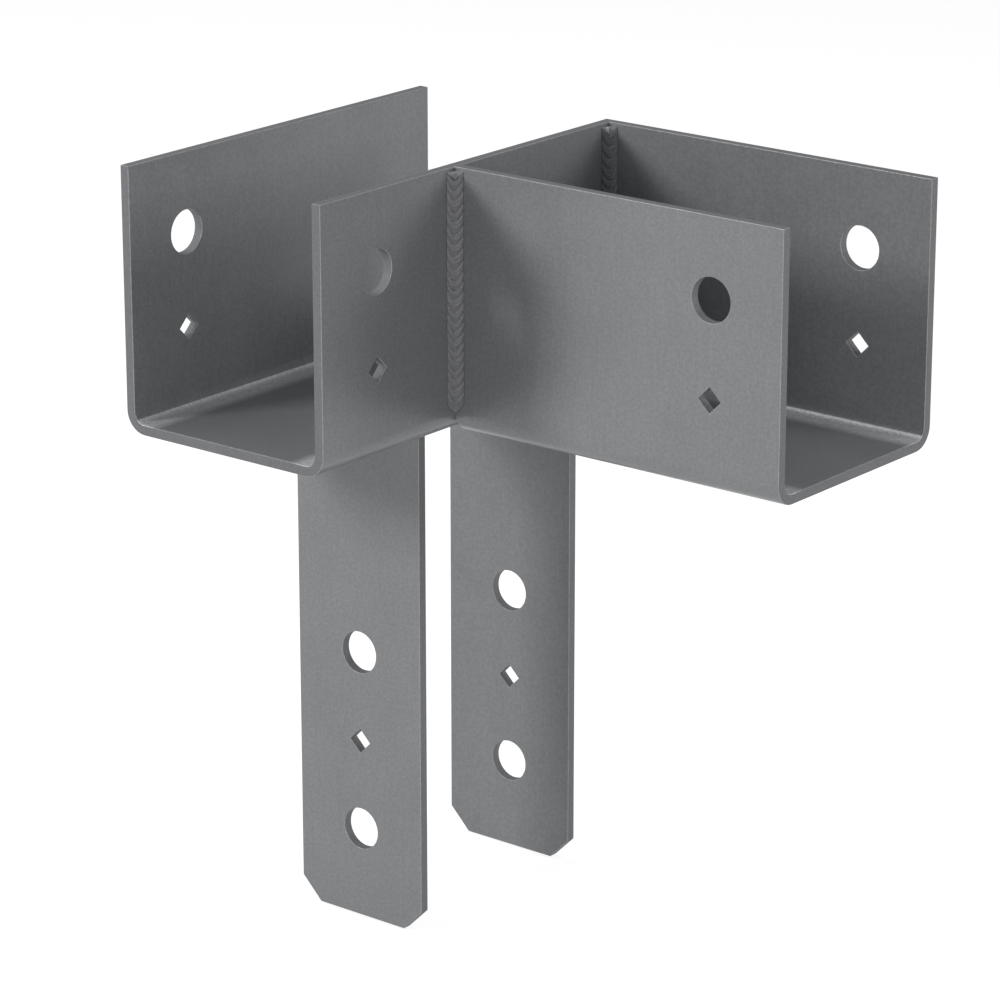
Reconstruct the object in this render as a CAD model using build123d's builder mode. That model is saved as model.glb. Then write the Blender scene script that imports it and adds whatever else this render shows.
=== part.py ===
"""An L-shaped column end cap: two folded channels and two straps, welded together.

The main channel carries one beam and the side channel another, at right angles to it.
The straps hang below and hold the cap to a timber column between them.
Origin: the middle of the column seat, on the main channel's underside, halfway between the straps.
+Z is up, +X points along the side channel to its open end, -Y to the main channel's front end.
"""
import os
from math import sqrt

from build123d import *

os.makedirs("parts", exist_ok=True)

inch = 25.4

# Folded sheet
sheet = 0.1644 * inch  # 8 gauge
fold_radius = 3 / 16 * inch  # inside of each fold
wall_height = 4 * inch  # from the inner floor to the top edge
edge_break = 0.25  # deburred edges

# Clear widths for the two beams and the column
main_seat = 3.625 * inch
side_seat = 3.625 * inch
column_gap = 3.625 * inch

# Lengths: the side channel is measured from the main channel's outer face
main_length = 7 * inch
side_length = 6 * inch

# Holes in the channel walls
bolt_radius = 11 / 32 * inch
bolt_from_end = 1.25 * inch
bolt_from_top = 1.25 * inch
square_side = 9 / 32 * inch  # small square hole, set on its corner
square_above_floor = 1.25 * inch

# Straps, measured down from the main channel's underside
strap_sheet = 0.1644 * inch  # 8 gauge
strap_width = 2.5 * inch
strap_length = 8.5 * inch
strap_corner = 3 / 8 * inch
strap_bolt_drop = 4 * inch
strap_bolt_spacing = 3 * inch
strap_square_drop = 5.5 * inch

# Weld beads
weld_leg = 3 / 16 * inch
weld_crown = 0.7  # how far a bead's face stands out from its chord
weld_top_gap = 1.4  # from the top edge down to the end of an upright bead
crater_radius = 4.5
crater_depth = 0.9
seam_width = 6.0  # low bead across the flush faces at the rear strap
seam_rise = 0.3  # where the floor seam's face meets the main channel's fold
ripple_pitch = 4.6
ripple_height = 0.3
ripple_sag = 2.0  # how far a ripple bows along the bead
groove_width = 1.1  # between one ripple and the next

# Outer sizes and the planes that pieces share
fold_outer = fold_radius + sheet
channel_height = wall_height + sheet
main_side = main_seat / 2 + sheet  # outer face of the main channel's walls, in X
side_outer = side_seat + 2 * sheet
back = column_gap / 2 + strap_sheet  # back faces of both channels and of the rear strap, in Y
front = back - main_length
side_front = back - side_outer
side_middle = back - side_outer / 2
side_end = main_side + side_length
strap_front = -column_gap / 2 - strap_sheet
bolt_height = channel_height - bolt_from_top
square_height = sheet + square_above_floor
main_bolt_y = front + bolt_from_end
side_bolt_x = side_end - bolt_from_end
upright_run = channel_height - weld_top_gap - fold_outer
through = 2 * (main_side + side_outer + side_length)  # longer than any cut needs


def folded_section(seat):
    """The U section of a channel with this clear width, as the sheet is folded."""
    middle = seat / 2 + sheet / 2
    with BuildSketch() as section:
        with BuildLine():
            FilletPolyline(
                (-middle, channel_height),
                (-middle, sheet / 2),
                (middle, sheet / 2),
                (middle, channel_height),
                radius=fold_radius + sheet / 2,
            )
        trace(line_width=sheet)
    return section.sketch


def wall_holes(along):
    """The bolt hole and the square hole of one channel, at this place along it."""
    with Locations((along, bolt_height)):
        Circle(bolt_radius)
    with Locations((along, square_height)):
        Rectangle(square_side, square_side, rotation=45)


def strap_outline():
    """One strap's outline and holes, hanging down from the middle of its top edge."""
    with BuildSketch() as outline:
        with Locations((0, -strap_length / 2)):
            Rectangle(strap_width, strap_length)
        chamfer(outline.vertices().group_by(Axis.Y)[0], length=strap_corner)
        with Locations((0, -strap_bolt_drop), (0, -strap_bolt_drop - strap_bolt_spacing)):
            Circle(bolt_radius, mode=Mode.SUBTRACT)
        with Locations((0, -strap_square_drop)):
            Rectangle(square_side, square_side, rotation=45, mode=Mode.SUBTRACT)
    return outline.sketch


def fillet_section(extra=0):
    """A fillet bead in the corner of two walls that meet at the origin, grown by extra."""
    leg = weld_leg + extra
    with BuildSketch() as section:
        with BuildLine():
            Line((0, 0), (leg, 0))
            SagittaArc((leg, 0), (0, leg), -weld_crown)
            Line((0, leg), (0, 0))
        make_face()
    return section.sketch


def seam_section():
    """A low bead on a flat face, centred on the seam at the origin."""
    half = seam_width / 2
    with BuildSketch() as section:
        with BuildLine():
            Line((-half, 0), (half, 0))
            SagittaArc((half, 0), (-half, 0), -weld_crown)
        make_face()
    return section.sketch


def groove_section():
    """The bead between the main channel's fold and the side channel's floor end."""
    toe = (sqrt(fold_outer**2 - (fold_outer - seam_rise) ** 2) - fold_outer, seam_rise)
    root = (sqrt(fold_outer**2 - (fold_outer - sheet) ** 2) - fold_outer, sheet)
    with BuildSketch() as section:
        with BuildLine():
            Line((0, 0), (0, sheet))
            Line((0, sheet), root)
            RadiusArc(root, toe, fold_outer)
            SagittaArc(toe, (0, 0), -weld_crown)
        make_face()
    return section.sketch


def plain_bead(across, run, section):
    """A smooth bead of this section, from this plane and this far along."""
    with BuildPart() as bead:
        with BuildSketch(across):
            add(section)
        extrude(amount=run)
    return bead.part


def rippled_bead(across, run):
    """A fillet bead with a face of bowed ripples: a grown bead, grooved, around a plain one."""
    face = face_plane(across)
    with BuildPart() as bead:
        with BuildSketch(across):
            add(fillet_section(ripple_height))
        extrude(amount=run)
        with BuildSketch(face):
            for ripple in range(1, int(run / ripple_pitch) + 1):
                low = ripple * ripple_pitch
                high = low + groove_width
                with BuildLine():
                    ThreePointArc((-weld_leg, low), (0, low - ripple_sag), (weld_leg, low))
                    Line((weld_leg, low), (weld_leg, high))
                    ThreePointArc((weld_leg, high), (0, high - ripple_sag), (-weld_leg, high))
                    Line((-weld_leg, high), (-weld_leg, low))
                make_face()
        extrude(amount=2 * weld_leg, both=True, mode=Mode.SUBTRACT)
        add(plain_bead(across, run, fillet_section()))
    return bead.part


def upright_bead(corner_y):
    """An upright rippled bead against the main channel's right wall, with its end crater."""
    across = Plane((main_side, corner_y, fold_outer), x_dir=(0, -1, 0), z_dir=(0, 0, 1))
    crown = weld_leg * sqrt(0.5) + weld_crown
    crater = face_plane(across).from_local_coords((0, upright_run, crown + crater_radius - crater_depth))
    with BuildPart() as bead:
        add(rippled_bead(across, upright_run))
        with Locations(crater):
            Sphere(crater_radius, mode=Mode.SUBTRACT)
    return bead.part


def face_plane(across):
    """The plane through a fillet bead's corner that its face looks out from."""
    leg = across.x_dir
    other_leg = across.y_dir
    return Plane(across.origin, x_dir=other_leg - leg, z_dir=leg + other_leg)


def deburr(rims, keep):
    """Breaks the sheet's cut edges, apart from those in keep, as a deburring wheel leaves them."""
    cut_edges = [edge for edge in dict.fromkeys(rims) if edge not in keep]
    chamfer(cut_edges, length=edge_break)


# Main channel: folded, drilled through both walls near its front end
with BuildPart() as main_channel:
    with BuildSketch(Plane.XZ.offset(-back)):
        add(folded_section(main_seat))
    extrude(amount=main_length)
    with BuildSketch(Plane.YZ):
        wall_holes(main_bolt_y)
    extrude(amount=through, both=True, mode=Mode.SUBTRACT)
    rims = faces().filter_by(Axis.X).edges() + faces().filter_by(Axis.Y).edges()
    folds = edges().filter_by(Axis.Y).filter_by_position(Axis.Z, -1, channel_height - edge_break)
    deburr(rims, folds)
main_channel.part.label = "main_channel"

# Side channel: its flat end butts against the main channel's right wall
with BuildPart() as side_channel:
    with BuildSketch(Plane((main_side, side_middle, 0), x_dir=(0, 1, 0), z_dir=(1, 0, 0))):
        add(folded_section(side_seat))
    extrude(amount=side_length)
    with BuildSketch(Plane.XZ):
        wall_holes(side_bolt_x)
    extrude(amount=through, both=True, mode=Mode.SUBTRACT)
    rims = faces().filter_by(Axis.Y).edges() + faces().sort_by(Axis.X)[-1].edges()
    folds = edges().filter_by(Axis.X).filter_by_position(Axis.Z, -1, channel_height - edge_break)
    butt = faces().sort_by(Axis.X)[0].edges()
    deburr(rims, folds + butt)
side_channel.part.label = "side_channel"

# Straps: their tops meet the main channel's underside and keep a square edge there
with BuildPart() as front_strap:
    with BuildSketch(Plane((0, strap_front, 0), x_dir=(1, 0, 0), z_dir=(0, -1, 0))):
        add(strap_outline())
    extrude(amount=-strap_sheet)
    deburr(faces().filter_by(Axis.Y).edges(), faces().sort_by(Axis.Z)[-1].edges())
front_strap.part.label = "front_strap"

with BuildPart() as rear_strap:
    with BuildSketch(Plane((0, back, 0), x_dir=(-1, 0, 0), z_dir=(0, 1, 0))):
        add(strap_outline())
    extrude(amount=-strap_sheet)
    deburr(faces().filter_by(Axis.Y).edges(), faces().sort_by(Axis.Z)[-1].edges())
rear_strap.part.label = "rear_strap"

# The two upright beads, both laid from the main channel's side
with BuildPart() as outer_corner_weld:
    add(upright_bead(side_front))
outer_corner_weld.part.label = "outer_corner_weld"

with BuildPart() as inner_corner_weld:
    add(upright_bead(back - sheet))
inner_corner_weld.part.label = "inner_corner_weld"

# The floor seam is welded from below, between the side channel's two folds
with BuildPart() as floor_seam_weld:
    seam_start = Plane((main_side, back - fold_outer, 0), x_dir=(1, 0, 0), z_dir=(0, -1, 0))
    add(plain_bead(seam_start, side_outer - 2 * fold_outer, groove_section()))
floor_seam_weld.part.label = "floor_seam_weld"

with BuildPart() as front_strap_weld:
    bead_start = Plane((-strap_width / 2, strap_front, 0), x_dir=(0, -1, 0), z_dir=(1, 0, 0))
    add(plain_bead(bead_start, strap_width, fillet_section()))
front_strap_weld.part.label = "front_strap_weld"

# The rear strap is flush with the main channel's end, so its bead lies flat over the seam
with BuildPart() as rear_strap_weld:
    low_start = Plane((-strap_width / 2, back, 0), x_dir=(0, 0, -1), z_dir=(1, 0, 0))
    add(plain_bead(low_start, strap_width, seam_section()))
rear_strap_weld.part.label = "rear_strap_weld"

pieces = (
    main_channel,
    side_channel,
    front_strap,
    rear_strap,
    outer_corner_weld,
    inner_corner_weld,
    floor_seam_weld,
    front_strap_weld,
    rear_strap_weld,
)
for piece in pieces:
    export_step(piece.part, f"parts/{piece.part.label}.step")
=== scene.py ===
"""Looks of an L-shaped column end cap: primed steel plate and rippled weld beads on a plain stage.

Every length is in metres, in the cap's own frame: +Z up, +X along the side channel,
-Y towards the main channel's front end, origin at the middle of the column seat.
"""
import math
import random

import bmesh
import bpy
from bpy.props import FloatProperty, IntProperty, PointerProperty, StringProperty
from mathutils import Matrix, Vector, noise


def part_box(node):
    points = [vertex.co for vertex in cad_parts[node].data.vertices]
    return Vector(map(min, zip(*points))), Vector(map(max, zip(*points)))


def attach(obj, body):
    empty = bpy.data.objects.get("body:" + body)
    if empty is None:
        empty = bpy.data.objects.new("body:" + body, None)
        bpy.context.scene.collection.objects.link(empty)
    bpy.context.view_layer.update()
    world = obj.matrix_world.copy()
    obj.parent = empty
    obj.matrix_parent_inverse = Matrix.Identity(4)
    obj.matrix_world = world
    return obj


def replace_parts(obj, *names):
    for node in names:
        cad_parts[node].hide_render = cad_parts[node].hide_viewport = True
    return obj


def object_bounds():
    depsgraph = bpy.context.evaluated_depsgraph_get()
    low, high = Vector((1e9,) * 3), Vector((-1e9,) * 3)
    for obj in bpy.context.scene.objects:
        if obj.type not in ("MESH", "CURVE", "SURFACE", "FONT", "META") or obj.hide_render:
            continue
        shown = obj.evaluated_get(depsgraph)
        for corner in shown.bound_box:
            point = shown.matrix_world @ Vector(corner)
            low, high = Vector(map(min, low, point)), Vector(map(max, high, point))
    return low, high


bl_info = {
    "name": "Column end cap looks",
    "version": (1, 0, 0),
    "blender": (4, 5, 0),
    "location": "3D View > Sidebar > Column Cap",
    "description": "Dresses a welded column end cap with primer, weld beads and a studio stage",
    "category": "Object",
}

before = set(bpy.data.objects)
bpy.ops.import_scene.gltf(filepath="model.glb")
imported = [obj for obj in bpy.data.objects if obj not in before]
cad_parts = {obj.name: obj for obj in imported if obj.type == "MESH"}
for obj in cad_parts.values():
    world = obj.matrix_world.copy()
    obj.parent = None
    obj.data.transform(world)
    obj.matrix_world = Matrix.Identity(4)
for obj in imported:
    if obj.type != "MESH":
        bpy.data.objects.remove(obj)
CAD_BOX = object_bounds()
MM = 0.001

# Places that the frame gives
MAIN_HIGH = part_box("main_channel")[1]
SIDE_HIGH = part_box("side_channel")[1]
OUTER_WELD_LOW, OUTER_WELD_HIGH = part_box("outer_corner_weld")
INNER_WELD_LOW, INNER_WELD_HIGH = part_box("inner_corner_weld")
SEAM_LOW, SEAM_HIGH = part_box("floor_seam_weld")
STRAP_WELD_LOW, STRAP_WELD_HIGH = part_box("front_strap_weld")
REAR_WELD_LOW, REAR_WELD_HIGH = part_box("rear_strap_weld")

FOLD_OUTER = OUTER_WELD_LOW.z
SHEET = SEAM_HIGH.z
FOLD_INNER = FOLD_OUTER - SHEET

# The CAD beads' ripples stand out this far, and make the upright beads' boxes wider by it
CAD_RIPPLE = 0.3 * MM

# Height at which the floor seam's face meets the main channel's fold, and how far it bulges
SEAM_RISE = 0.3 * MM
SEAM_CROWN = 0.3 * MM

# Patterns of the primer, in mm; a peel has a size and a height. Real spray grain is a few
# tenths of a millimetre across and wouldn't show, so mottle and peel are drawn coarser.
MOTTLE = 1.2
DRIFT = 22
STREAK = 0.9
PLATE_PEEL = (0.9, 0.035)
WELD_PEEL = (0.6, 0.03)

# The middle of a noise's range, where nearly all of it lies; the narrow one gives more contrast
NARROW_MIDDLE = {"From Min": 0.38, "From Max": 0.62}
WIDE_MIDDLE = {"From Min": 0.3, "From Max": 0.7}

# How much painted highlight a deburred edge gets, and what a cut face adds to the roughness
PAINTED_EDGE_HIGHLIGHT = 0.35
CUT_ROUGHER = 0.3

# The band of painted highlight inside a fold. It starts softly at this slope, seen from the fold's centre,
# which is about halfway round, and fades out over the floor, measured in from the fold.
BAND_SLOPE = 0.9
BAND_START = 0.5 * MM
FADE_STARTS = 3.0 * MM
FADE_ENDS = 8.5 * MM
FOLD_SLACK = 0.3 * MM

# A face leans towards an axis when its unit normal has more than this along it
LEAN = 0.02
FLOOR_SLACK = 0.5 * MM

# A deburred edge is a strip narrower than this that faces no axis squarely
DEBURRED_WIDTH = 0.32 * MM
SQUARE_ON = 0.95
JOIN_DISTANCE = 0.001 * MM

# How a bead's mesh is divided, and how far it fades in and is ground back at its ends
BEAD_STEP = 0.2 * MM
BEAD_POINTS = 26
UPRIGHT_ENDS = (5.0 * MM, 3.2 * MM)
STRAP_ENDS = (3.0 * MM, 3.0 * MM)
LOW_ENDS = (2.0 * MM, 2.0 * MM)
START_SIZE = 0.3

# How uneven the ripples are. The first one starts this far in front of the bead, and each is
# this long, as shares of the pitch.
FIRST_RIPPLE = (0.3, 0.9)
RIPPLE_LENGTHS = (0.8, 1.2)

# How far the ripples stray along the bead, the length over which they do so, and the noise's
# steps across the bead and from one seed to the next
STRAY = 0.25 * MM
STRAY_LENGTH = 6 * MM
STRAY_ACROSS = 3
SEED_STEP = 1.7

# Shape of a ripple. With a lean below 1 it rises faster than it falls, and with a flatness
# above 2 its back is flatter than a parabola. Fine lines take a share of its height, its
# sides have a share of its middle's height, and it reaches that within a sixth of the width.
RIPPLE_LEAN = 0.75
RIPPLE_FLATNESS = 2.4
FINE_LINES = 3
FINE_SHARE = 0.45
SIDE_SHARE = 0.4
TOE_RISE = 6

# How far the last ripple reaches into the puddle at the end, as a share of the bow
LAST_REACH = 0.6

# Width of a bead as a share of the CAD one, and what ripples and a slow sway change in it
MEAN_WIDTH = 0.98
RIPPLE_WIDTH = 0.04
SWAY_WIDTH = 0.02
SWAY_LENGTH = 9 * MM

# The ground V: how fast it narrows, how deep it is at the middle, and how sharply its painted highlight
# sets in
GROUND_NARROWS = 0.9
GROUND_DEPTH = 0.45
PAINTED_HIGHLIGHT_EDGE = 6

# Rise of the plain low bead, as a share of the CAD bead's, which leaves room for its ripples
LOW_RISE = 0.6

# The stage, in metres and degrees; an azimuth turns from -Y towards +X
FLOOR_GAP = 0.5 * MM
FLOOR_RADIUS = 30
FLOOR_GLOW = 0.82
WHITE = "#FFFFFF"
LAMP_AIM = Vector((0.06, -0.03, 0.0))
CAMERA_PLACE = (1.04184, -1.25684, 0.48279)
CAMERA_AZIMUTH = 38.777
CAMERA_ELEVATION = 18.081
SENSOR_MM = 36


class CapFinish(bpy.types.PropertyGroup):
    """Sizes and colours of the primer and the welds."""

    primer_colour: StringProperty(
        name="Primer", description="sRGB hex of the primer on the plates", default="#8D8F91"
    )
    # The beads' primer, drawn darker than the plates' as painted shade
    weld_primer_with_painted_shade: StringProperty(
        name="Weld primer", description="sRGB hex of the primer over the beads, darkened as painted shade", default="#6A6B6D"
    )
    # Painted highlight: a light steel colour laid on the deburred edges, inside the folds and on the weld
    # ends
    painted_highlight_colour: StringProperty(
        name="Painted highlight",
        description="sRGB hex of the painted highlight on edges, folds and weld ends",
        default="#DFE0E3",
    )
    # Cut faces: darker partly for their thin primer and partly as painted shade on the dim top strips and
    # edges
    cut_primer_and_shade_colour: StringProperty(
        name="Cut edges",
        description="sRGB hex of the sheared and drilled faces: thin primer, darkened also as painted shade",
        default="#7E7F82",
    )
    ripple_pitch: FloatProperty(
        name="Ripple pitch",
        description="Mean distance from one weld ripple to the next",
        default=4.3 * MM,
        unit="LENGTH",
    )
    ripple_height: FloatProperty(
        name="Ripple height",
        description="How far a ripple stands out of the bead's face",
        default=0.18 * MM,
        unit="LENGTH",
    )
    ripple_bow: FloatProperty(
        name="Ripple bow",
        description="How far the middle of a ripple lags behind its ends",
        default=4.0 * MM,
        unit="LENGTH",
    )
    crown: FloatProperty(
        name="Crown",
        description="How far the face of a bead stands out from its chord",
        default=0.12 * MM,
        unit="LENGTH",
    )
    seed: IntProperty(name="Seed", description="Start of the uneven ripples", default=7)


class CapStage(bpy.types.PropertyGroup):
    """Light, floor and camera."""

    key_power: FloatProperty(
        name="Key", description="Power of the soft lamp at the front left", default=13.8, unit="POWER"
    )
    right_power: FloatProperty(
        name="Right", description="Power of the lamp at the back right", default=9.0, unit="POWER"
    )
    side_power: FloatProperty(
        name="Side", description="Power of the low lamp at the front right", default=6.8, unit="POWER"
    )
    glint_power: FloatProperty(
        name="Glint", description="Power of the small high lamp at the left", default=9.0, unit="POWER"
    )
    back_power: FloatProperty(
        name="Back", description="Power of the high lamp at the back", default=0.8, unit="POWER"
    )
    world_level: FloatProperty(name="World", description="Brightness of the dim world", default=0.24)
    floor_colour: StringProperty(
        name="Floor", description="sRGB hex of the paper floor, as it lights the cap", default="#ADADAD"
    )
    lens: FloatProperty(
        name="Lens", description="Focal length on a 36 mm sensor", default=152.275, unit="CAMERA"
    )


def linear(hex_colour):
    """An sRGB hex colour as linear RGBA."""
    levels = [int(hex_colour.lstrip("#")[i : i + 2], 16) / 255 for i in (0, 2, 4)]
    return tuple(c / 12.92 if c <= 0.04045 else ((c + 0.055) / 1.055) ** 2.4 for c in levels) + (1.0,)


def new_tree(name):
    """An empty node material and its tree."""
    material = bpy.data.materials.new(name)
    material.use_nodes = True
    material.node_tree.nodes.clear()
    return material, material.node_tree


def add_node(tree, kind, settings=(), inputs=(), links=()):
    """Adds one node: its settings, the values of its inputs, and links to its inputs."""
    node = tree.nodes.new(kind)
    for key, value in dict(settings).items():
        setattr(node, key, value)
    for key, value in dict(inputs).items():
        node.inputs[key].default_value = value
    for key, socket in dict(links).items():
        tree.links.new(socket, node.inputs[key])
    return node


def per_metre(size_mm):
    """The noise scale that gives features of this size."""
    return 1 / (size_mm * MM)


def painted_fold_highlight(tree, place, across, fold_line):
    """1 along the inside of a channel's two folds, where a painted highlight lies, else 0.

    The painted highlight band runs from halfway round each fold and fades out a little way over the floor.
    """
    split = add_node(tree, "ShaderNodeSeparateXYZ", links={"Vector": place})
    from_middle = add_node(
        tree, "ShaderNodeMath", {"operation": "ABSOLUTE"}, links={0: split.outputs[across]}
    )
    out = add_node(
        tree, "ShaderNodeMath", {"operation": "SUBTRACT"}, {1: fold_line}, {0: from_middle.outputs[0]}
    )
    past_line = add_node(tree, "ShaderNodeMath", {"operation": "MAXIMUM"}, {1: 0.0}, {0: out.outputs[0]})
    height = add_node(
        tree, "ShaderNodeMath", {"operation": "SUBTRACT"}, {1: FOLD_OUTER}, {0: split.outputs["Z"]}
    )
    corner = add_node(
        tree, "ShaderNodeCombineXYZ", links={"X": past_line.outputs[0], "Y": height.outputs[0]}
    )
    reach = add_node(tree, "ShaderNodeVectorMath", {"operation": "LENGTH"}, links={0: corner.outputs[0]})
    near = add_node(
        tree,
        "ShaderNodeMath",
        {"operation": "LESS_THAN"},
        {1: FOLD_INNER + FOLD_SLACK},
        {0: reach.outputs["Value"]},
    )
    below_half = add_node(
        tree,
        "ShaderNodeMath",
        {"operation": "MULTIPLY_ADD"},
        {1: BAND_SLOPE},
        {0: past_line.outputs[0], 2: height.outputs[0]},
    )
    past_half = add_node(
        tree,
        "ShaderNodeMapRange",
        inputs={"From Min": 0.0, "From Max": -BAND_START, "To Min": 0.0, "To Max": 1.0},
        links={"Value": below_half.outputs[0]},
    )
    on_floor = add_node(
        tree,
        "ShaderNodeMapRange",
        inputs={"From Min": -FADE_ENDS, "From Max": -FADE_STARTS, "To Min": 0.0, "To Max": 1.0},
        links={"Value": out.outputs[0]},
    )
    band = add_node(
        tree,
        "ShaderNodeMath",
        {"operation": "MULTIPLY"},
        links={0: past_half.outputs[0], 1: on_floor.outputs[0]},
    )
    return add_node(
        tree, "ShaderNodeMath", {"operation": "MULTIPLY"}, links={0: band.outputs[0], 1: near.outputs[0]}
    ).outputs[0]


def cut_faces(tree, place, across):
    """1 on the plate's sheared and drilled faces, and 0 on its rolled ones.

    A cut face doesn't lean across the channel. The channel's floor doesn't either, but it faces
    straight up and down and lies low, so it is left out.
    """
    facing = add_node(tree, "ShaderNodeNewGeometry").outputs["True Normal"]
    size = add_node(tree, "ShaderNodeVectorMath", {"operation": "ABSOLUTE"}, links={0: facing})
    parts = add_node(tree, "ShaderNodeSeparateXYZ", links={"Vector": size.outputs[0]})
    along = {"X": "Y", "Y": "X"}[across]
    edgewise = add_node(
        tree, "ShaderNodeMath", {"operation": "LESS_THAN"}, {1: LEAN}, {0: parts.outputs[across]}
    )
    endwise = add_node(
        tree, "ShaderNodeMath", {"operation": "GREATER_THAN"}, {1: LEAN}, {0: parts.outputs[along]}
    )
    split = add_node(tree, "ShaderNodeSeparateXYZ", links={"Vector": place})
    from_fold = add_node(
        tree, "ShaderNodeMath", {"operation": "SUBTRACT"}, {1: FOLD_OUTER / 2}, {0: split.outputs["Z"]}
    )
    distance = add_node(tree, "ShaderNodeMath", {"operation": "ABSOLUTE"}, links={0: from_fold.outputs[0]})
    off_floor = add_node(
        tree,
        "ShaderNodeMath",
        {"operation": "GREATER_THAN"},
        {1: FOLD_OUTER / 2 + FLOOR_SLACK},
        {0: distance.outputs[0]},
    )
    either = add_node(
        tree,
        "ShaderNodeMath",
        {"operation": "MAXIMUM"},
        links={0: endwise.outputs[0], 1: off_floor.outputs[0]},
    )
    return add_node(
        tree,
        "ShaderNodeMath",
        {"operation": "MULTIPLY"},
        links={0: edgewise.outputs[0], 1: either.outputs[0]},
    ).outputs[0]


def primer_material(name, colours, peel, across=None, fold_line=None):
    """Grey shop primer, sprayed thin over hot-rolled steel or weld metal and dried satin.

    To the eye that is a flat grey with a soft sheen: the spray leaves a fine mottle and a
    slight peel, and the rolling leaves faint streaks below it. Cut faces take less primer
    and are drawn darker and duller, their darkness partly painted shade for the dim top strips.
    Deburred edges, the inside of the folds and the weld's ground ends get a painted highlight
    in a lighter, more metallic colour.
    """
    material, tree = new_tree(name)
    place = add_node(tree, "ShaderNodeTexCoord").outputs["Object"]

    # Spray mottle, drifts of thicker primer, and rolling streaks drawn out along Z
    mottle = add_node(
        tree,
        "ShaderNodeTexNoise",
        inputs={"Scale": per_metre(MOTTLE), "Detail": 3.0},
        links={"Vector": place},
    )
    mottle_level = add_node(
        tree,
        "ShaderNodeMapRange",
        inputs={**NARROW_MIDDLE, "To Min": 0.93, "To Max": 1.07},
        links={"Value": mottle.outputs["Fac"]},
    )
    drift = add_node(
        tree,
        "ShaderNodeTexNoise",
        inputs={"Scale": per_metre(DRIFT), "Detail": 2.0},
        links={"Vector": place},
    )
    drift_level = add_node(
        tree,
        "ShaderNodeMapRange",
        inputs={**WIDE_MIDDLE, "To Min": 0.97, "To Max": 1.03},
        links={"Value": drift.outputs["Fac"]},
    )
    drawn_out = add_node(
        tree, "ShaderNodeVectorMath", {"operation": "MULTIPLY"}, {1: (1, 1, 0.05)}, {0: place}
    )
    streak = add_node(
        tree,
        "ShaderNodeTexNoise",
        inputs={"Scale": per_metre(STREAK), "Detail": 2.0},
        links={"Vector": drawn_out.outputs[0]},
    )
    streak_level = add_node(
        tree,
        "ShaderNodeMapRange",
        inputs={**WIDE_MIDDLE, "To Min": 0.97, "To Max": 1.03},
        links={"Value": streak.outputs["Fac"]},
    )
    spray = add_node(
        tree,
        "ShaderNodeMath",
        {"operation": "MULTIPLY"},
        links={0: mottle_level.outputs[0], 1: drift_level.outputs[0]},
    )
    shade = add_node(
        tree,
        "ShaderNodeMath",
        {"operation": "MULTIPLY"},
        links={0: spray.outputs[0], 1: streak_level.outputs[0]},
    )

    # Where the painted highlight goes: the marked edges and weld ends, and the inside of the folds
    painted_highlight_mark = add_node(tree, "ShaderNodeAttribute", {"attribute_name": "painted_highlight_mark"}).outputs["Fac"]
    painted_highlight_place = add_node(
        tree, "ShaderNodeMath", {"operation": "MULTIPLY"}, {1: PAINTED_EDGE_HIGHLIGHT}, {0: painted_highlight_mark}
    ).outputs[0]
    # Add the painted highlight band inside the channel's folds
    if fold_line:
        folds = painted_fold_highlight(tree, place, across, fold_line)
        painted_highlight_place = add_node(
            tree, "ShaderNodeMath", {"operation": "MAXIMUM"}, links={0: painted_highlight_place, 1: folds}
        ).outputs[0]
    patchy = add_node(
        tree,
        "ShaderNodeMapRange",
        inputs={**WIDE_MIDDLE, "To Min": 0.75, "To Max": 1.0},
        links={"Value": mottle.outputs["Fac"]},
    )
    # How much painted highlight each place gets, broken up by the mottle
    painted_highlight_share = add_node(
        tree, "ShaderNodeMath", {"operation": "MULTIPLY"}, links={0: painted_highlight_place, 1: patchy.outputs[0]}
    )

    # Base colour: primer; on the cut faces a darker colour, partly thinner primer and partly painted shade;
    # and the light painted highlight colour where it is marked
    primer_hex, cut_primer_and_shade_hex, painted_highlight_hex = colours
    cut = {0: cut_faces(tree, place, across)} if across else {}
    primer = add_node(
        tree,
        "ShaderNodeMix",
        {"data_type": "RGBA"},
        {0: 0.0, 6: linear(primer_hex), 7: linear(cut_primer_and_shade_hex)},
        cut,
    )
    colour = add_node(
        tree,
        "ShaderNodeMix",
        {"data_type": "RGBA"},
        {7: linear(painted_highlight_hex)},
        {0: painted_highlight_share.outputs[0], 6: primer.outputs[2]},
    )
    shaded = add_node(
        tree,
        "ShaderNodeVectorMath",
        {"operation": "SCALE"},
        links={0: colour.outputs[2], "Scale": shade.outputs[0]},
    )

    # The painted highlight is a little metallic; the sheen follows the mottle, and a cut face is rougher
    metallic = add_node(
        tree,
        "ShaderNodeMapRange",
        inputs={"To Min": 0.08, "To Max": 0.2},
        links={"Value": painted_highlight_share.outputs[0]},
    )
    dry = add_node(
        tree,
        "ShaderNodeMapRange",
        inputs={**NARROW_MIDDLE, "To Min": 0.285, "To Max": 0.335},
        links={"Value": mottle.outputs["Fac"]},
    )
    rough = add_node(
        tree,
        "ShaderNodeMath",
        {"operation": "MULTIPLY_ADD"},
        {0: 0.0, 1: CUT_ROUGHER},
        {**cut, 2: dry.outputs[0]},
    )

    # The peel's swells, too low to be modelled
    peel_size, peel_height = peel
    swells = add_node(
        tree,
        "ShaderNodeTexNoise",
        inputs={"Scale": per_metre(peel_size), "Detail": 0.0},
        links={"Vector": place},
    )
    bump = add_node(
        tree,
        "ShaderNodeBump",
        inputs={"Strength": 1.0, "Distance": peel_height * MM},
        links={"Height": swells.outputs["Fac"]},
    )
    shader = add_node(
        tree,
        "ShaderNodeBsdfPrincipled",
        links={
            "Base Color": shaded.outputs["Vector"],
            "Metallic": metallic.outputs[0],
            "Roughness": rough.outputs[0],
            "Normal": bump.outputs["Normal"],
        },
    )
    add_node(tree, "ShaderNodeOutputMaterial", links={"Surface": shader.outputs["BSDF"]})
    return material


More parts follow.
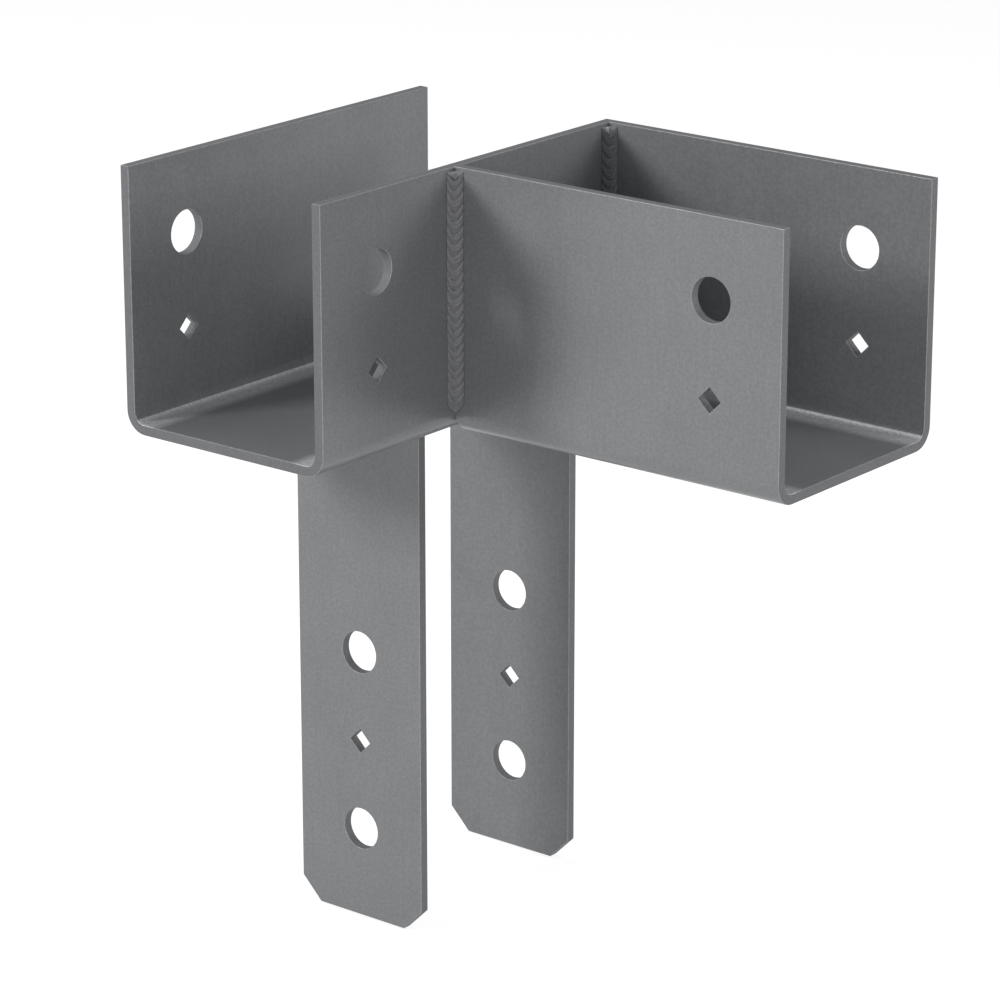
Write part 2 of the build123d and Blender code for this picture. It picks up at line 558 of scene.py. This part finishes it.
def edge_nodes():
    """Nodes that join a plate's faces, let the light roll over its edge breaks and mark them for a painted
    highlight.
    """
    group = bpy.data.node_groups.new("joined_smooth_and_marked", "GeometryNodeTree")
    group.interface.new_socket("Geometry", in_out="INPUT", socket_type="NodeSocketGeometry")
    group.interface.new_socket("Geometry", in_out="OUTPUT", socket_type="NodeSocketGeometry")
    start = add_node(group, "NodeGroupInput")
    joined = add_node(
        group,
        "GeometryNodeMergeByDistance",
        inputs={"Distance": JOIN_DISTANCE},
        links={"Geometry": start.outputs[0]},
    )
    smooth = add_node(
        group,
        "GeometryNodeSetShadeSmooth",
        inputs={"Shade Smooth": True},
        links={"Geometry": joined.outputs[0]},
    )
    ends = add_node(group, "GeometryNodeInputMeshEdgeVertices")
    length = add_node(
        group,
        "ShaderNodeVectorMath",
        {"operation": "DISTANCE"},
        links={0: ends.outputs["Position 1"], 1: ends.outputs["Position 2"]},
    )
    mean_length = add_node(
        group, "GeometryNodeFieldOnDomain", {"domain": "EDGE"}, links={"Value": length.outputs["Value"]}
    )
    area = add_node(group, "GeometryNodeInputMeshFaceArea")
    width = add_node(
        group,
        "ShaderNodeMath",
        {"operation": "DIVIDE"},
        links={0: area.outputs[0], 1: mean_length.outputs[0]},
    )
    slender = add_node(
        group,
        "ShaderNodeMath",
        {"operation": "LESS_THAN"},
        inputs={1: DEBURRED_WIDTH},
        links={0: width.outputs[0]},
    )
    facing = add_node(group, "GeometryNodeInputNormal")
    size = add_node(
        group, "ShaderNodeVectorMath", {"operation": "ABSOLUTE"}, links={0: facing.outputs[0]}
    )
    parts = add_node(group, "ShaderNodeSeparateXYZ", links={0: size.outputs[0]})
    larger = add_node(
        group, "ShaderNodeMath", {"operation": "MAXIMUM"}, links={0: parts.outputs[0], 1: parts.outputs[1]}
    )
    largest = add_node(
        group, "ShaderNodeMath", {"operation": "MAXIMUM"}, links={0: larger.outputs[0], 1: parts.outputs[2]}
    )
    slanting = add_node(
        group, "ShaderNodeMath", {"operation": "LESS_THAN"}, {1: SQUARE_ON}, {0: largest.outputs[0]}
    )
    # Slender slanting strips are the deburred edges; they are marked for the painted highlight
    painted_highlight_mark = add_node(
        group,
        "ShaderNodeMath",
        {"operation": "MULTIPLY"},
        links={0: slender.outputs[0], 1: slanting.outputs[0]},
    )
    marked = add_node(
        group,
        "GeometryNodeStoreNamedAttribute",
        {"domain": "FACE", "data_type": "FLOAT"},
        inputs={"Name": "painted_highlight_mark"},
        links={"Geometry": smooth.outputs[0], "Value": painted_highlight_mark.outputs[0]},
    )
    add_node(group, "NodeGroupOutput", links={0: marked.outputs[0]})
    return group


def dress(node_name, material, edges):
    """Gives a CAD node this material, edges that catch the light, and flats that stay flat."""
    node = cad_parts[node_name]
    node.data.materials.clear()
    node.data.materials.append(material)
    node.modifiers.new("joined_smooth_and_marked", "NODES").node_group = edges
    node.modifiers.new("flats_stay_flat", "WEIGHTED_NORMAL").mode = "FACE_AREA"


def crest_places(limit, pitch, dice):
    """Where the ripples of a bead start, unevenly, from in front of its start to this limit."""
    places = [-pitch * dice.uniform(*FIRST_RIPPLE)]
    while places[-1] < limit:
        places.append(places[-1] + pitch * dice.uniform(*RIPPLE_LENGTHS))
    return places


def ripple_level(along, crests):
    """Height of the ripples at this place along the bead, 0 to 1, and how far through one it is."""
    for low, high in zip(crests, crests[1:]):
        if low <= along < high:
            share = ((along - low) / (high - low)) ** RIPPLE_LEAN
            return 1 - abs(2 * share - 1) ** RIPPLE_FLATNESS, share
    return 0.0, 0.0


def bead_rings(run, profile, finish, dice, ends):
    """Rings of (x, y, z, ground) across a bead, z along its run, ground 1 where the V gets its full painted
    highlight.

    profile(share, grow) gives the (x, y) of the plain bead's face at that share of its
    width and the outward direction there, for a bead grown by that factor. ends holds how
    far the bead fades in, and how long its last puddle is, which is ground back in a V.
    """
    fade, puddle = ends
    crests = crest_places(run - puddle + LAST_REACH * finish.ripple_bow, finish.ripple_pitch, dice)
    steps_along = round(run / BEAD_STEP)
    seed_place = finish.seed * SEED_STEP
    rings = []
    for i in range(steps_along + 1):
        z = run * i / steps_along
        grow = 1.0
        if z < fade:
            grow = START_SIZE + (1 - START_SIZE) * math.sin(math.pi / 2 * z / fade)
        ring = []
        for j in range(BEAD_POINTS + 1):
            share = j / BEAD_POINTS
            middle = 1 - (2 * share - 1) ** 2

            # The ripples, bowed along the bead, with fine lines on them
            along = z + finish.ripple_bow * middle
            stray = noise.noise(Vector((share * STRAY_ACROSS, z / STRAY_LENGTH, seed_place)))
            level, through = ripple_level(along + STRAY * stray, crests)
            fine = abs(math.sin(through * math.pi * FINE_LINES))
            relief = level * (1 - FINE_SHARE) + FINE_SHARE * fine
            swell = finish.ripple_height * relief * (SIDE_SHARE + (1 - SIDE_SHARE) * middle)
            on_plate = min(1.0, TOE_RISE * min(share, 1 - share))

            # The plain face below them, whose width sways
            sway = noise.noise(Vector((z / SWAY_LENGTH, share, 3.0)))
            toe_sway = MEAN_WIDTH + RIPPLE_WIDTH * (level - 0.5) + SWAY_WIDTH * sway
            (x, y), (out_x, out_y) = profile(share, grow * toe_sway)

            # The V that is ground into the end, sunk into the bead and given a painted highlight
            turn = max(0.0, 1 - (run - z) / puddle)
            ground = max(0.0, turn - GROUND_NARROWS * abs(2 * share - 1))
            sunk = 1 - GROUND_DEPTH * ground
            face_x = (x + out_x * swell * on_plate) * sunk
            face_y = (y + out_y * swell * on_plate) * sunk
            ring.append((face_x, face_y, z, min(1.0, PAINTED_HIGHLIGHT_EDGE * ground)))
        rings.append(ring)
    return rings


def bead_object(name, rings, back, place, material):
    """A closed bead mesh from its rings, with back lines along these (x, y), set in the frame."""
    mesh_data = bmesh.new()
    # The painted highlight mark on the ground V, read by the weld material
    ground = mesh_data.verts.layers.float.new("painted_highlight_mark")
    rows = []
    for ring in rings:
        row = []
        for x, y, z, share in [(x, y, ring[0][2], 0.0) for x, y in back] + ring:
            row.append(mesh_data.verts.new(place(Vector((x, y, z)))))
            row[-1][ground] = share
        rows.append(row)
    width = len(rows[0])
    for row, following in zip(rows, rows[1:]):
        for j in range(width):
            k = (j + 1) % width
            mesh_data.faces.new((row[j], row[k], following[k], following[j]))
    mesh_data.faces.new(rows[0][::-1])
    mesh_data.faces.new(rows[-1])
    bmesh.ops.recalc_face_normals(mesh_data, faces=mesh_data.faces)
    for face in mesh_data.faces:
        face.smooth = len(face.verts) == 4
    mesh = bpy.data.meshes.new(name)
    mesh_data.to_mesh(mesh)
    mesh_data.free()
    piece = bpy.data.objects.new(name, mesh)
    bpy.context.scene.collection.objects.link(piece)
    mesh.materials.append(material)
    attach(piece, "root")
    return piece


def fillet_profile(leg, crown):
    """Face of a fillet bead between two plates that meet at right angles."""

    def at(share, grow):
        half = math.sqrt(0.5)
        bulge = crown * 4 * share * (1 - share) * grow
        x = leg * grow * (1 - share) + bulge * half
        y = leg * grow * share + bulge * half
        return (x, y), (half, half)

    return at


def low_profile(width, rise):
    """Face of a low bead that lies flat over a seam."""

    def at(share, grow):
        x = width * grow * (share - 0.5)
        y = rise * grow * 4 * share * (1 - share)
        return (x, y), (0.0, 1.0)

    return at


def groove_profile(toe, crown):
    """Face of the seam bead, from the fold of the main channel to the side channel's floor end."""

    def at(share, grow):
        x = toe[0] * (1 - share)
        y = toe[1] * (1 - share) - crown * 4 * share * (1 - share) * grow
        return (x, y), (0.0, -1.0)

    return at


def framed(origin, x_way, y_way, z_way):
    """Takes a bead's own coordinates into the cap's frame."""
    origin, x_way, y_way, z_way = (Vector(v) for v in (origin, x_way, y_way, z_way))
    return lambda p: origin + x_way * p.x + y_way * p.y + z_way * p.z


class CAP_OT_prime_plates(bpy.types.Operator):
    """Prime the folded channels and the straps"""

    bl_idname = "cap.prime_plates"
    bl_label = "Prime plates"

    def execute(self, context):
        finish = context.scene.cap_finish
        colours = (finish.primer_colour, finish.cut_primer_and_shade_colour, finish.painted_highlight_colour)
        main_line = MAIN_HIGH.x - FOLD_OUTER
        side_line = SIDE_HIGH.y - FOLD_OUTER
        name = "shop_primer_sprayed_on_rolled_steel_"
        main_primer = primer_material(name + "main_channel", colours, PLATE_PEEL, "X", main_line)
        side_primer = primer_material(name + "side_channel", colours, PLATE_PEEL, "Y", side_line)
        strap_primer = primer_material(name + "straps", colours, PLATE_PEEL, "Y")
        edges = edge_nodes()
        dress("main_channel", main_primer, edges)
        dress("side_channel", side_primer, edges)
        dress("front_strap", strap_primer, edges)
        dress("rear_strap", strap_primer, edges)
        return {"FINISHED"}


class CAP_OT_lay_beads(bpy.types.Operator):
    """Lay the rippled weld beads over their seams"""

    bl_idname = "cap.lay_beads"
    bl_label = "Lay weld beads"

    def execute(self, context):
        finish = context.scene.cap_finish
        colours = (finish.weld_primer_with_painted_shade, finish.cut_primer_and_shade_colour, finish.painted_highlight_colour)
        # Weld metal under the same primer, with a finer peel; its colour is darkened as painted shade, and
        # its ground end gets a painted highlight
        material = primer_material("shop_primer_sprayed_on_weld_metal", colours, WELD_PEEL)
        dice = random.Random(finish.seed)
        uprights = (
            ("outer_corner_bead", "outer_corner_weld", OUTER_WELD_LOW, OUTER_WELD_HIGH),
            ("inner_corner_bead", "inner_corner_weld", INNER_WELD_LOW, INNER_WELD_HIGH),
        )
        for name, node_name, low, high in uprights:
            leg = (high.x - low.x) - CAD_RIPPLE
            run = high.z - low.z
            rings = bead_rings(run, fillet_profile(leg, finish.crown), finish, dice, UPRIGHT_ENDS)
            place = framed((low.x, high.y, low.z), (0, -1, 0), (1, 0, 0), (0, 0, 1))
            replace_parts(bead_object(name, rings, [(0, 0)], place, material), node_name)

        leg = STRAP_WELD_HIGH.z - STRAP_WELD_LOW.z
        run = STRAP_WELD_HIGH.x - STRAP_WELD_LOW.x
        rings = bead_rings(run, fillet_profile(leg, finish.crown), finish, dice, STRAP_ENDS)
        corner = (STRAP_WELD_LOW.x, STRAP_WELD_HIGH.y, STRAP_WELD_HIGH.z)
        place = framed(corner, (0, -1, 0), (0, 0, -1), (1, 0, 0))
        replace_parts(bead_object("front_strap_bead", rings, [(0, 0)], place, material), "front_strap_weld")

        width = REAR_WELD_HIGH.z - REAR_WELD_LOW.z
        run = REAR_WELD_HIGH.x - REAR_WELD_LOW.x
        rise = REAR_WELD_HIGH.y - REAR_WELD_LOW.y
        rings = bead_rings(run, low_profile(width, rise * LOW_RISE), finish, dice, LOW_ENDS)
        place = framed((REAR_WELD_LOW.x, REAR_WELD_LOW.y, 0), (0, 0, -1), (0, 1, 0), (1, 0, 0))
        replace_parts(bead_object("rear_strap_bead", rings, [(0, 0)], place, material), "rear_strap_weld")

        root = (math.sqrt(FOLD_OUTER**2 - FOLD_INNER**2) - FOLD_OUTER, SHEET)
        toe = (SEAM_LOW.x - SEAM_HIGH.x, SEAM_RISE)
        run = SEAM_HIGH.y - SEAM_LOW.y
        rings = bead_rings(run, groove_profile(toe, SEAM_CROWN), finish, dice, LOW_ENDS)
        place = framed((SEAM_HIGH.x, SEAM_HIGH.y, 0), (1, 0, 0), (0, 0, 1), (0, -1, 0))
        back = [(0, SHEET), root]
        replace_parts(bead_object("floor_seam_bead", rings, back, place, material), "floor_seam_weld")
        return {"FINISHED"}


class CAP_OT_set_stage(bpy.types.Operator):
    """Set the floor, the soft lamps, the dim world and the camera"""

    bl_idname = "cap.set_stage"
    bl_label = "Set stage"

    def execute(self, context):
        stage = context.scene.cap_stage
        add_floor(CAD_BOX[0].z - FLOOR_GAP, stage.floor_colour)
        set_world(stage.world_level)

        # Each lamp's name, azimuth, elevation, distance, size and power
        lamps = (
            ("key_lamp", -30, 25, 1.9, 0.42, stage.key_power),
            ("side_lamp", 40, 3, 1.9, 0.9, stage.side_power),
            ("right_lamp", 114, 19, 1.9, 0.6, stage.right_power),
            ("glint_lamp", -92, 50, 1.7, 1.5, stage.glint_power),
            ("back_lamp", -178, 39, 1.7, 0.9, stage.back_power),
        )
        for lamp in lamps:
            add_lamp(*lamp)
        add_camera(stage.lens)
        context.scene.view_settings.view_transform = "Standard"
        return {"FINISHED"}


def add_floor(height, colour):
    """A wide floor of rolled-out matt paper: even, with no gloss, and with the cap's shadow.

    The camera and reflections see it white. Its own colour is lower, so that it sends less
    light up into the channels.
    """
    mesh_data = bmesh.new()
    bmesh.ops.create_circle(mesh_data, cap_ends=True, segments=96, radius=FLOOR_RADIUS)
    mesh = bpy.data.meshes.new("floor")
    mesh_data.to_mesh(mesh)
    mesh_data.free()
    floor = bpy.data.objects.new("floor", mesh)
    floor.location.z = height
    bpy.context.scene.collection.objects.link(floor)
    material, tree = new_tree("matt_paper_rolled_out")
    paper = add_node(tree, "ShaderNodeBsdfDiffuse", inputs={"Color": linear(colour)})
    path = add_node(tree, "ShaderNodeLightPath")
    seen = add_node(
        tree,
        "ShaderNodeMath",
        {"operation": "MAXIMUM"},
        links={0: path.outputs["Is Camera Ray"], 1: path.outputs["Is Glossy Ray"]},
    )
    white_share = add_node(
        tree, "ShaderNodeMath", {"operation": "MULTIPLY"}, {1: FLOOR_GLOW}, {0: seen.outputs[0]}
    )
    glow = add_node(
        tree,
        "ShaderNodeEmission",
        inputs={"Color": linear(WHITE)},
        links={"Strength": white_share.outputs[0]},
    )
    both = add_node(tree, "ShaderNodeAddShader", links={0: paper.outputs[0], 1: glow.outputs[0]})
    add_node(tree, "ShaderNodeOutputMaterial", links={"Surface": both.outputs[0]})
    mesh.materials.append(material)


def set_world(level):
    """A dim, even world."""
    world = bpy.data.worlds.new("dim_room")
    world.use_nodes = True
    background = world.node_tree.nodes["Background"]
    background.inputs["Color"].default_value = linear(WHITE)
    background.inputs["Strength"].default_value = level
    bpy.context.scene.world = world


def direction(azimuth, elevation):
    """The unit vector out from the cap at these two angles."""
    around = math.radians(azimuth)
    up = math.radians(elevation)
    return Vector((math.sin(around) * math.cos(up), -math.cos(around) * math.cos(up), math.sin(up)))


def set_up(name, data, place, way):
    """Adds a lamp or a camera at this place, looking against this way."""
    thing = bpy.data.objects.new(name, data)
    thing.location = place
    thing.rotation_mode = "QUATERNION"
    thing.rotation_quaternion = way.to_track_quat("Z", "Y")
    bpy.context.scene.collection.objects.link(thing)
    return thing


def add_lamp(name, azimuth, elevation, distance, size, power):
    """A square soft lamp that looks at the cap."""
    data = bpy.data.lights.new(name, "AREA")
    data.shape = "SQUARE"
    data.size = size
    data.energy = power
    way = direction(azimuth, elevation)
    set_up(name, data, LAMP_AIM + way * distance, way)


def add_camera(lens):
    """The photograph's camera, solved from the cap's own edges and holes."""
    data = bpy.data.cameras.new("camera")
    data.lens = lens
    data.sensor_width = SENSOR_MM
    way = direction(CAMERA_AZIMUTH, CAMERA_ELEVATION)
    bpy.context.scene.camera = set_up("camera", data, CAMERA_PLACE, way)


class CAP_PT_panel(bpy.types.Panel):
    """The column cap's settings and steps"""

    bl_idname = "CAP_PT_panel"
    bl_label = "Column Cap"
    bl_space_type = "VIEW_3D"
    bl_region_type = "UI"
    bl_category = "Column Cap"

    def draw(self, context):
        layout = self.layout
        for group in (context.scene.cap_finish, context.scene.cap_stage):
            for key in group.__annotations__:
                layout.prop(group, key)
        for step in STEPS:
            layout.operator(step.bl_idname)


STEPS = (CAP_OT_prime_plates, CAP_OT_lay_beads, CAP_OT_set_stage)
CLASSES = (CapFinish, CapStage, *STEPS, CAP_PT_panel)


def register():
    """Registers the classes and hangs their settings on the scene."""
    for cls in CLASSES:
        bpy.utils.register_class(cls)
    bpy.types.Scene.cap_finish = PointerProperty(type=CapFinish)
    bpy.types.Scene.cap_stage = PointerProperty(type=CapStage)


def unregister():
    """Takes the settings and the classes away again."""
    del bpy.types.Scene.cap_stage
    del bpy.types.Scene.cap_finish
    for cls in reversed(CLASSES):
        bpy.utils.unregister_class(cls)


def main():
    """Registers the add-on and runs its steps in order."""
    register()
    bpy.ops.cap.prime_plates()
    bpy.ops.cap.lay_beads()
    bpy.ops.cap.set_stage()


if __name__ == "__main__":
    main()
